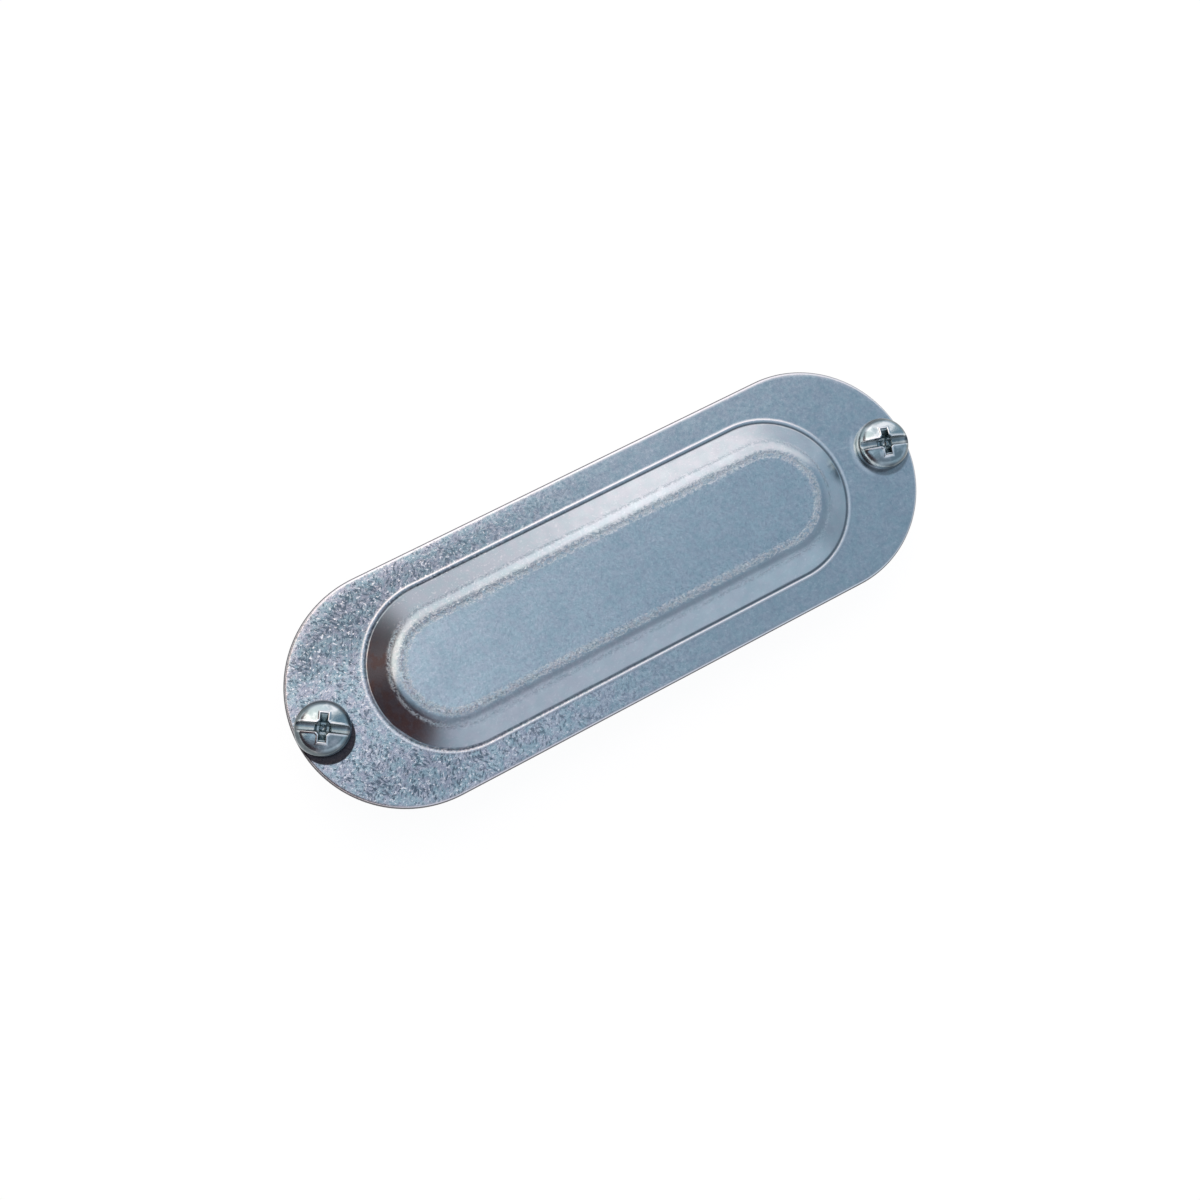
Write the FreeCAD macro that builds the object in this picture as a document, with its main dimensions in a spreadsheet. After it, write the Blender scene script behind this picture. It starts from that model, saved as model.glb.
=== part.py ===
"""Stamped steel cover for a conduit body, with its two captive pan-head screws.

The cover is one drawn sheet: a flat flange with round ends and a raised dome, whose sloping
wall and flat panel keep the sheet's thickness. Each screw has a neck thinner than its thread,
so the tapped hole in the flange keeps it on the cover and lets it turn.

Frame: the origin is the centre of the seating face, under the flange. +Z points out of the
cover's outer face and +X runs along it. Sizes are in millimetres and degrees.
"""

import FreeCAD, Part

import math
import os

import Sketcher
from FreeCAD import Placement, Rotation, Vector

SIZES = (
    ("cover_length", 103.2, "flange, end to end"),
    ("cover_width", 34.9, "flange, side to side; its ends are half circles of this width"),
    ("sheet_thickness", 1.3, "sheet, the same in flange, wall and panel"),
    ("edge_roll", 0.5, "radius that the blanking die leaves on the flange's upper edge"),
    ("edge_break", 0.12, "chamfer on the flange's lower edge"),
    ("side_land", 5.15, "flat flange between its long side and the dome's foot"),
    ("end_land", 12.25, "flat flange between its end and the dome's foot"),
    ("dome_rise", 2.0, "panel above the flange"),
    ("wall_angle", 27.0, "slope of the dome's wall, from the flange"),
    ("foot_radius", 0.6, "inside radius of the bend between flange and wall, on the outer face"),
    ("shoulder_radius", 3.3, "inside radius of the bend between wall and panel, under the panel"),
    ("screw_edge", 4.1, "from the flange's end to the axis of its screw"),
    ("hole_chamfer", 0.2, "at both mouths of the tapped hole"),
    ("head_diameter", 8.1, "screw head, across its upright rim"),
    ("head_height", 2.75, "screw head, from its seat to the top of its crown"),
    ("head_rim", 0.8, "height of the head's upright rim"),
    ("head_corner", 1.5, "radius from the rim into the crown"),
    ("slot_width", 1.25, "screwdriver slot"),
    ("slot_depth", 1.15, "slot, below the top of the crown"),
    ("cross_span", 4.2, "cross recess, from wing end to wing end at the top of the crown"),
    ("cross_width", 1.15, "wing of the cross, at the top of the crown"),
    ("cross_depth", 2.0, "cross recess, below the top of the crown"),
    ("tip_span", 1.7, "cross recess, from wing end to wing end at its floor"),
    ("tip_width", 0.7, "wing of the cross, at its floor"),
    ("core_width", 2.3, "square middle of the cross, across its flats at the top of the crown"),
    ("core_tip", 1.0, "square middle of the cross, across its flats at its floor"),
    ("thread_diameter", 4.16, "outside of the thread"),
    ("thread_length", 5.9, "threaded end, below the neck"),
    ("thread_chamfer", 0.55, "at the screw's tip"),
    ("neck_relief", 0.48, "neck below the outside of the thread, on the radius"),
    ("neck_reach", 2.3, "neck below the seating face"),
    ("neck_clearance", 0.1, "between the neck and the tapped hole, on the radius"),
    ("left_turn", -33.0, "direction of the left screw's slot, from +X"),
    ("right_turn", -17.0, "direction of the right screw's slot, from +X"),
)
TOUCH = 1e-6

# Lengths that more than one feature needs, as expressions on the sheet's aliases.
SCREW_X = "(Sizes.cover_length / 2 - Sizes.screw_edge)"
NECK_RADIUS = "(Sizes.thread_diameter / 2 - Sizes.neck_relief)"
NECK_LENGTH = "(Sizes.sheet_thickness + Sizes.neck_reach)"
TURN_IN = "tan(Sizes.wall_angle * 0.5 deg)"
DOME_SPACING = "Sizes.cover_length - Sizes.cover_width - 2 * (Sizes.end_land - Sizes.side_land)"
WALL_TAPER = "(Sizes.wall_angle - 90) * 1 deg"

doc = FreeCAD.newDocument("conduit_body_cover")


def fill_sheet():
    """Put the driving dimensions into the spreadsheet, one aliased cell each."""
    sheet = doc.addObject("Spreadsheet::Sheet", "Sizes")
    for row, (name, value, note) in enumerate(SIZES, start=1):
        sheet.set(f"A{row}", name)
        sheet.set(f"B{row}", str(value))
        sheet.set(f"C{row}", note)
        sheet.setAlias(f"B{row}", name)
    doc.recompute()
    return sheet


def value_of(expression):
    """The number that an expression on the sheet's aliases gives."""
    result = sizes.evalExpression(expression)
    return float(getattr(result, "Value", result))


def new_sketch(body, name, role, lift=None, turn=0.0):
    """A sketch on one of the body's own origin planes, lifted off it and turned in it."""
    sketch = body.newObject("Sketcher::SketchObject", name)
    plane = next(item for item in body.Origin.OriginFeatures if item.Role == role)
    sketch.AttachmentSupport = (plane, [""])
    sketch.MapMode = "FlatFace"
    sketch.AttachmentOffset = Placement(Vector(), Rotation(Vector(0, 0, 1), turn))
    if lift:
        sketch.setExpression("AttachmentOffset.Base.z", lift)
    return sketch


def drive(sketch, expression, *constraint):
    """Add a dimension to a sketch and bind it to the sheet."""
    index = sketch.addConstraint(Sketcher.Constraint(*constraint, value_of(expression)))
    sketch.setExpression(f"Constraints[{index}]", expression)


def join(sketch, chain):
    """Close a chain of curves: each one's end meets the next one's start."""
    for here, after in zip(chain, chain[1:] + chain[:1]):
        sketch.addConstraint(Sketcher.Constraint("Coincident", here, 2, after, 1))


def draw_obround(sketch, radius, spacing):
    """Two half circles on the X axis, joined by two lines."""
    reach = value_of(radius)
    half = value_of(spacing) / 2
    up = Vector(0, 0, 1)
    quarter = math.pi / 2
    right = Part.ArcOfCircle(Part.Circle(Vector(half, 0), up, reach), -quarter, quarter)
    left = Part.ArcOfCircle(Part.Circle(Vector(-half, 0), up, reach), quarter, 3 * quarter)
    sketch.addGeometry(right)
    sketch.addGeometry(Part.LineSegment(Vector(half, reach), Vector(-half, reach)))
    sketch.addGeometry(left)
    sketch.addGeometry(Part.LineSegment(Vector(-half, -reach), Vector(half, -reach)))
    for here, after in ((0, 1), (1, 2), (2, 3), (3, 0)):
        sketch.addConstraint(Sketcher.Constraint("Tangent", here, 2, after, 1))
    sketch.addConstraint(Sketcher.Constraint("Equal", 0, 2))
    sketch.addConstraint(Sketcher.Constraint("Symmetric", 0, 3, 2, 3, -1, 1))
    sketch.addConstraint(Sketcher.Constraint("PointOnObject", 0, 3, -1))
    drive(sketch, radius, "Radius", 0)
    drive(sketch, spacing, "DistanceX", 2, 3, 0, 3)


def draw_rectangle(sketch, width, height, centre="0"):
    """A rectangle on the sketch's upright axis, with its middle at the height called centre."""
    half = value_of(width) / 2
    low = value_of(centre) - value_of(height) / 2
    high = low + value_of(height)
    corners = [Vector(-half, low), Vector(half, low), Vector(half, high), Vector(-half, high)]
    for start, end in zip(corners, corners[1:] + corners[:1]):
        sketch.addGeometry(Part.LineSegment(start, end))
    join(sketch, [0, 1, 2, 3])
    for direction, side in (("Vertical", 1), ("Horizontal", 2), ("Vertical", 3)):
        sketch.addConstraint(Sketcher.Constraint(direction, side))
    sketch.addConstraint(Sketcher.Constraint("Symmetric", 0, 1, 0, 2, -2))
    drive(sketch, width, "DistanceX", 0, 1, 0, 2)
    drive(sketch, height, "DistanceY", 1, 1, 1, 2)
    drive(sketch, f"{centre} + {height} / 2", "DistanceY", -1, 1, 2, 1)


def draw_screw_profile(sketch):
    """Half of a screw's section beside its axis: crown, rim, seat, neck, thread and tip."""
    reach = value_of("Sizes.head_diameter / 2")
    height, rim = value_of("Sizes.head_height"), value_of("Sizes.head_rim")
    corner = value_of("Sizes.head_corner")
    neck, neck_end = value_of(NECK_RADIUS), -value_of(NECK_LENGTH)
    thread, chamfer = value_of("Sizes.thread_diameter / 2"), value_of("Sizes.thread_chamfer")
    relief = value_of("Sizes.neck_relief")
    tip = neck_end - value_of("Sizes.thread_length")
    # The crown touches the rim's corner arc from outside and peaks on the axis.
    step = height - corner - rim
    crown = corner + ((reach - corner) ** 2 + step**2) / (2 * step)
    lean = Vector(reach - corner, rim + crown - height).getAngle(Vector(1, 0))
    up = Vector(0, 0, 1)
    meet = Part.Circle(Vector(reach - corner, rim), up, corner)
    crown_circle = Part.Circle(Vector(0, height - crown), up, crown)
    sketch.addGeometry(Part.ArcOfCircle(crown_circle, lean, math.pi / 2))
    sketch.addGeometry(Part.ArcOfCircle(meet, 0.0, lean))
    corners = (
        Vector(reach, rim),
        Vector(reach, 0),
        Vector(neck, 0),
        Vector(neck, neck_end),
        Vector(thread, neck_end - relief),
        Vector(thread, tip + chamfer),
        Vector(thread - chamfer, tip),
        Vector(0, tip),
        Vector(0, height),
    )
    for start, end in zip(corners, corners[1:]):
        sketch.addGeometry(Part.LineSegment(start, end))
    rim_line, seat, neck_line, lead, thread_line, bevel, tip_line, axis = range(2, 10)
    for here, after in zip(range(2, 9), range(3, 10)):
        sketch.addConstraint(Sketcher.Constraint("Coincident", here, 2, after, 1))
    sketch.addConstraint(Sketcher.Constraint("Coincident", axis, 2, 0, 2))
    sketch.addConstraint(Sketcher.Constraint("Tangent", 1, 2, 0, 1))
    sketch.addConstraint(Sketcher.Constraint("Tangent", 1, 1, rim_line, 1))
    sketch.addConstraint(Sketcher.Constraint("PointOnObject", 0, 3, -2))
    sketch.addConstraint(Sketcher.Constraint("PointOnObject", axis, 1, -2))
    sketch.addConstraint(Sketcher.Constraint("PointOnObject", seat, 1, -1))
    for line in (rim_line, neck_line, thread_line, axis):
        sketch.addConstraint(Sketcher.Constraint("Vertical", line))
    for line in (seat, tip_line):
        sketch.addConstraint(Sketcher.Constraint("Horizontal", line))
    drive(sketch, "Sizes.head_diameter / 2", "DistanceX", -1, 1, seat, 1)
    drive(sketch, "Sizes.head_rim", "DistanceY", rim_line, 2, rim_line, 1)
    drive(sketch, "Sizes.head_corner", "Radius", 1)
    drive(sketch, "Sizes.head_height", "DistanceY", -1, 1, axis, 2)
    drive(sketch, NECK_RADIUS, "DistanceX", -1, 1, seat, 2)
    drive(sketch, NECK_LENGTH, "DistanceY", neck_line, 2, neck_line, 1)
    drive(sketch, "Sizes.neck_relief", "DistanceX", lead, 1, lead, 2)
    drive(sketch, "Sizes.neck_relief", "DistanceY", lead, 2, lead, 1)
    drive(sketch, f"{NECK_LENGTH} + Sizes.thread_length", "DistanceY", tip_line, 2, -1, 1)
    drive(sketch, "Sizes.thread_chamfer", "DistanceX", bevel, 2, bevel, 1)
    drive(sketch, "Sizes.thread_chamfer", "DistanceY", bevel, 2, bevel, 1)


def feature(body, kind, name, **links):
    """A PartDesign feature of the body, with its links and options set."""
    made = body.newObject(f"PartDesign::{kind}", name)
    for option, value in links.items():
        setattr(made, option, value)
    return made


def ring_edges(base, height, inner):
    """Names of the edges round the flat face at a height: its outline, or the openings in it."""
    shape = base.Shape
    flat = [
        face
        for face in shape.Faces
        if face.BoundBox.ZLength < TOUCH and abs(face.BoundBox.ZMax - height) < TOUCH
    ]
    face = max(flat, key=lambda item: item.Area)
    wires = [wire for wire in face.Wires if wire.isSame(face.OuterWire) != inner]
    edges = [edge for wire in wires for edge in wire.Edges]
    return [
        f"Edge{index}"
        for index, edge in enumerate(shape.Edges, start=1)
        if any(edge.isSame(other) for other in edges)
    ]


def circle_edges(base, radius):
    """Names of the full circles of one radius."""
    return [
        f"Edge{index}"
        for index, edge in enumerate(base.Shape.Edges, start=1)
        if edge.Closed and abs(getattr(edge.Curve, "Radius", 0) - radius) < TOUCH
    ]


def round_ring(body, name, base, height, radius, inner=False):
    """Round the ring of edges at a height of the body."""
    doc.recompute()
    rounded = feature(body, "Fillet", name)
    rounded.Base = (base, ring_edges(base, value_of(height), inner))
    rounded.setExpression("Radius", radius)
    return rounded


def bevel_ring(body, name, base, height, size, inner=False):
    """Bevel the ring of edges at a height of the body."""
    doc.recompute()
    beveled = feature(body, "Chamfer", name)
    beveled.Base = (base, ring_edges(base, value_of(height), inner))
    beveled.setExpression("Size", size)
    return beveled


def make_cover():
    """The drawn sheet: flange, dome of even thickness, rounded bends and two tapped holes."""
    body = doc.addObject("PartDesign::Body", "Cover")
    body.Label = "cover"
    thickness = "Sizes.sheet_thickness"
    foot = f"Sizes.cover_width / 2 - Sizes.side_land - Sizes.foot_radius * {TURN_IN}"

    outline = new_sketch(body, "FlangeOutline", "XY_Plane")
    draw_obround(outline, "Sizes.cover_width / 2", "Sizes.cover_length - Sizes.cover_width")
    flange = feature(body, "Pad", "Flange", Profile=outline)
    flange.setExpression("Length", thickness)

    dome_foot = new_sketch(body, "DomeFoot", "XY_Plane", lift=thickness)
    draw_obround(dome_foot, foot, DOME_SPACING)
    dome = feature(body, "Pad", "Dome", Profile=dome_foot)
    dome.setExpression("Length", "Sizes.dome_rise")
    dome.setExpression("TaperAngle", WALL_TAPER)

    mouth = new_sketch(body, "DomeMouth", "XY_Plane")
    draw_obround(mouth, f"{foot} - {thickness} * {TURN_IN}", DOME_SPACING)
    hollow = feature(body, "Pocket", "DomeHollow", Profile=mouth, Reversed=True)
    hollow.setExpression("Length", "Sizes.dome_rise")
    hollow.setExpression("TaperAngle", WALL_TAPER)

    panel_top = "Sizes.dome_rise + Sizes.sheet_thickness"
    outer_bend = "Sizes.shoulder_radius + Sizes.sheet_thickness"
    base = round_ring(body, "Shoulder", hollow, panel_top, outer_bend)
    base = round_ring(body, "ShoulderInside", base, "Sizes.dome_rise", "Sizes.shoulder_radius")
    base = round_ring(body, "Foot", base, thickness, "Sizes.foot_radius", inner=True)
    outer_foot = "Sizes.foot_radius + Sizes.sheet_thickness"
    base = round_ring(body, "FootOutside", base, "0", outer_foot, inner=True)
    base = round_ring(body, "EdgeRoll", base, thickness, "Sizes.edge_roll")
    base = bevel_ring(body, "EdgeBreak", base, "0", "Sizes.edge_break")

    doc.recompute()
    centres = new_sketch(body, "ScrewHoles", "XY_Plane")
    across = value_of(SCREW_X)
    bore = f"{NECK_RADIUS} + Sizes.neck_clearance"
    for side in (-1, 1):
        circle = Part.Circle(Vector(side * across, 0), Vector(0, 0, 1), value_of(bore))
        centres.addGeometry(circle)
    centres.addConstraint(Sketcher.Constraint("Symmetric", 0, 3, 1, 3, -1, 1))
    centres.addConstraint(Sketcher.Constraint("PointOnObject", 0, 3, -1))
    centres.addConstraint(Sketcher.Constraint("Equal", 0, 1))
    drive(centres, bore, "Radius", 0)
    drive(centres, SCREW_X, "DistanceX", -1, 1, 1, 3)
    holes = feature(body, "Pocket", "TappedHoles", Profile=centres, Reversed=True)
    holes.setExpression("Length", thickness)
    doc.recompute()
    mouths = feature(body, "Chamfer", "HoleMouths")
    mouths.Base = (holes, circle_edges(holes, value_of(bore)))
    mouths.setExpression("Size", "Sizes.hole_chamfer")
    return body


def make_screw(name, side, turn):
    """A pan-head screw with a slot across a cross recess, standing in its hole."""
    body = doc.addObject("PartDesign::Body", name.title().replace("_", ""))
    body.Label = name
    top = "Sizes.head_height"
    section = new_sketch(body, f"{body.Name}Section", "XZ_Plane")
    draw_screw_profile(section)
    axis = (section, ["V_Axis"])
    feature(body, "Revolution", f"{body.Name}Turned", Profile=section, ReferenceAxis=axis)

    slot = new_sketch(body, f"{body.Name}SlotEnd", "YZ_Plane")
    draw_rectangle(slot, "Sizes.slot_width", "2 * Sizes.slot_depth", centre=top)
    cut = feature(body, "Pocket", f"{body.Name}Slot", Profile=slot, SideType="Symmetric")
    cut.setExpression("Length", "2 * Sizes.head_diameter")

    floor = "Sizes.head_height - Sizes.cross_depth"
    wide = new_sketch(body, f"{body.Name}WingTop", "XY_Plane", lift=top)
    draw_rectangle(wide, "Sizes.cross_span", "Sizes.cross_width")
    narrow = new_sketch(body, f"{body.Name}WingFloor", "XY_Plane", lift=floor)
    draw_rectangle(narrow, "Sizes.tip_span", "Sizes.tip_width")
    wings = feature(body, "SubtractiveLoft", f"{body.Name}Wings", Profile=wide)
    wings.Sections = [narrow]
    wings.Ruled = True
    doc.recompute()
    cross = feature(body, "PolarPattern", f"{body.Name}Cross", Originals=[wings])
    cross.Axis = (wide, ["N_Axis"])
    cross.Angle = 90
    cross.Occurrences = 2
    body.Tip = cross
    doc.recompute()

    core_top = new_sketch(body, f"{body.Name}CoreTop", "XY_Plane", lift=top, turn=45)
    draw_rectangle(core_top, "Sizes.core_width", "Sizes.core_width")
    core_floor = new_sketch(body, f"{body.Name}CoreFloor", "XY_Plane", lift=floor, turn=45)
    draw_rectangle(core_floor, "Sizes.core_tip", "Sizes.core_tip")
    core = feature(body, "SubtractiveLoft", f"{body.Name}Core", Profile=core_top)
    core.Sections = [core_floor]
    core.Ruled = True
    body.Tip = core

    body.setExpression("Placement.Base.x", f"{side} * {SCREW_X}")
    body.setExpression("Placement.Base.z", "Sizes.sheet_thickness")
    body.setExpression("Placement.Rotation.Angle", f"{turn} * 1 deg")
    return body


sizes = fill_sheet()
cover = make_cover()
screws = [
    make_screw("left_screw", -1, "Sizes.left_turn"),
    make_screw("right_screw", 1, "Sizes.right_turn"),
]
doc.recompute()

for item in doc.Objects:
    if {"Invalid", "Error"} & set(item.State):
        raise RuntimeError(f"{item.Name} did not compute: {item.State}")
bodies = [cover, *screws]
for body in bodies:
    if body.Shape.isNull() or not body.Shape.isValid() or len(body.Shape.Solids) != 1:
        raise RuntimeError(f"{body.Label} is not one sound solid")

os.makedirs("parts", exist_ok=True)
for body in bodies:
    body.Shape.exportStep(f"parts/{body.Label}.step")
    print(body.Label, round(body.Shape.Volume, 2), body.Shape.BoundBox)
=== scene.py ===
"""Looks of a conduit body cover: a drawn galvanised sheet and its two captive screws."""

import logging
import math
from collections.abc import Sequence
from dataclasses import dataclass
from enum import Enum
from functools import reduce

import bpy
import numpy as np
from mathutils import Matrix, Vector


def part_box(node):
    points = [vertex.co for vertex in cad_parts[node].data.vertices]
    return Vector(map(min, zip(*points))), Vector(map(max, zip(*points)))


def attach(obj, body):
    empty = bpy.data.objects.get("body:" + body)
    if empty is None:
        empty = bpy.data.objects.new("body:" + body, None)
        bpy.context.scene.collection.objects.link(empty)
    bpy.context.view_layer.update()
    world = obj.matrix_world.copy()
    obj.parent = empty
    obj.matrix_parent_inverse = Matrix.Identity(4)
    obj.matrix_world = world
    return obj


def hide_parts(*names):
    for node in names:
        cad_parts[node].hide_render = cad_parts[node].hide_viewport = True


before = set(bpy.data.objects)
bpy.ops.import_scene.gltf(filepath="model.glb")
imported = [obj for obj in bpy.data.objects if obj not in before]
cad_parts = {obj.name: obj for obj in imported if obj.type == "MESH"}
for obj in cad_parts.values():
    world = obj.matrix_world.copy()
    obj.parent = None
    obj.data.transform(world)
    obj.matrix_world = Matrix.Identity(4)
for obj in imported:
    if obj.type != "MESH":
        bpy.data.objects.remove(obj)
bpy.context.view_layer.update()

MM = 0.001
WELD_DISTANCE = 0.0005 * MM
LOG = logging.getLogger("conduit_body_cover")
Color = tuple[float, float, float]
Socket = bpy.types.NodeSocket


class Slot(Enum):
    """Material slots of the record."""

    SHEET = "galvanised_sheet"
    SCREW = "zinc_plated_screw"


class Side(Enum):
    """The two screws, by the end of the cover that holds them."""

    LEFT = "left_screw"
    RIGHT = "right_screw"


# ---------------------------------------------------------------- meshes


def grid_faces(rows: int, columns: int) -> np.ndarray:
    """Quads of a grid whose columns run round a loop.

    Args:
        rows: number of loops.
        columns: number of points in each loop.

    Returns:
        One row of four vertex indices for each quad.
    """
    row = np.arange(rows - 1)[:, None] * columns
    here = np.arange(columns)[None, :]
    after = (here + 1) % columns
    quads = np.stack([row + here, row + after, row + columns + after, row + columns + here], -1)
    return quads.reshape(-1, 4)


def add_mesh(name: str, points: np.ndarray, faces: np.ndarray) -> bpy.types.Object:
    """Put points and faces into a new mesh object in the scene.

    Args:
        name: name of the object and its mesh.
        points: rows of x, y, z in millimetres.
        faces: rows of four vertex indices.

    Returns:
        The object, at the origin, with its place in its mesh.
    """
    mesh = bpy.data.meshes.new(name)
    mesh.from_pydata((points * MM).tolist(), [], faces.tolist())
    thing = bpy.data.objects.new(name, mesh)
    bpy.context.scene.collection.objects.link(thing)
    return thing


def make_piece(name: str, points: np.ndarray, faces: np.ndarray) -> bpy.types.Object:
    """Put points and faces into a new smooth piece, with its doubles merged.

    Args:
        name: name of the piece.
        points: rows of x, y, z in millimetres.
        faces: rows of four vertex indices.

    Returns:
        The object, at the origin, with its place in its mesh.
    """
    piece = add_mesh(name, points, faces)
    weld = piece.modifiers.new("weld", "WELD")
    weld.merge_threshold = WELD_DISTANCE
    apply_modifiers(piece)
    piece.data.shade_smooth()
    return piece


def apply_modifiers(piece: bpy.types.Object) -> None:
    """Replace a piece's mesh with what its modifiers make of it.

    Args:
        piece: the object.
    """
    graph = bpy.context.evaluated_depsgraph_get()
    done = bpy.data.meshes.new_from_object(piece.evaluated_get(graph))
    piece.modifiers.clear()
    piece.data = done


def vertex_array(mesh: bpy.types.Mesh) -> np.ndarray:
    """The mesh's points.

    Args:
        mesh: the mesh.

    Returns:
        Rows of x, y, z in millimetres.
    """
    flat = np.empty(len(mesh.vertices) * 3)
    mesh.vertices.foreach_get("co", flat)
    return flat.reshape(-1, 3) / MM


def write_attribute(mesh: bpy.types.Mesh, name: str, values: np.ndarray) -> None:
    """Store one number for each point of the mesh."""
    layer = mesh.attributes.new(name, "FLOAT", "POINT")
    layer.data.foreach_set("value", values.astype(np.float32))


def smooth_step(low: float, high: float, values: np.ndarray) -> np.ndarray:
    """0 before low, 1 past high and an S-shaped ramp between them; it falls where low is higher."""
    share = np.clip((values - low) / (high - low), 0.0, 1.0)
    return share * share * (3.0 - 2.0 * share)


def bell(values: np.ndarray, middle: float, width: float) -> np.ndarray:
    """A bell curve: 1 at the middle, and e to the minus square of the distance over the width."""
    return np.exp(-((values - middle) / width) ** 2)


def soft_minimum(first: np.ndarray, second: np.ndarray, width: float) -> np.ndarray:
    """The smaller of two fields, with their crossing rounded over a width."""
    share = np.clip(0.5 + 0.5 * (second - first) / width, 0.0, 1.0)
    return second + (first - second) * share - width * share * (1.0 - share)


def mixed(share: np.ndarray, first: Sequence[float], second: Sequence[float]) -> np.ndarray:
    """The first times what the share leaves, plus the second times the share."""
    return np.asarray(first) * (1.0 - share) + np.asarray(second) * share


def ripple(points: np.ndarray, wavelength: float, seed: int, waves: int = 9,
           spread: tuple[float, float] = (0.7, 1.5)) -> np.ndarray:
    """A smooth random field: plane waves in chance directions, added up.

    Its root mean square is about 0.7, and its peaks reach about 2 either way.

    Args:
        points: rows of x, y, z in millimetres.
        wavelength: the middle wavelength, in millimetres.
        seed: seed of the waves' directions, lengths and phases.
        waves: how many waves are added up.
        spread: shortest and longest wave, as shares of the wavelength.

    Returns:
        One value for each point.
    """
    chance = np.random.default_rng(seed)
    turn = chance.uniform(0.0, math.tau, waves)
    number = math.tau / (wavelength * chance.uniform(*spread, waves))
    vectors = np.stack([np.cos(turn) * number, np.sin(turn) * number], 0)
    phase = chance.uniform(0.0, math.tau, waves)
    return np.sin(points[:, :2] @ vectors + phase).sum(1) / math.sqrt(waves)


def arc(centre: Sequence[float], radius: float, start: float, end: float, steps: int) -> np.ndarray:
    """Points of a circle's arc.

    Args:
        centre: the circle's distance from the axis and height.
        radius: the circle's radius.
        start: angle of the first point, in radians from straight up, positive outwards.
        end: angle of the last point.
        steps: how many points there are.

    Returns:
        Rows of (distance from the axis, height).
    """
    angle = np.linspace(start, end, steps)
    reach = centre[0] + radius * np.sin(angle)
    height = centre[1] + radius * np.cos(angle)
    return np.column_stack([reach, height])


def line(start: Sequence[float], end: Sequence[float], steps: int) -> np.ndarray:
    """Evenly spaced points of a straight line, without its first and last point."""
    return mixed(np.linspace(0.0, 1.0, steps + 2)[1:-1, None], start, end)


def turned(reach: np.ndarray, height: np.ndarray, angle: np.ndarray) -> np.ndarray:
    """Rings about the Z axis: x = reach * cos(angle), y = reach * sin(angle), z = height."""
    x, y = reach * np.cos(angle), reach * np.sin(angle)
    return np.stack([x, y, np.broadcast_to(height, x.shape)], -1)


# ---------------------------------------------------------------- the drawn sheet


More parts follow.
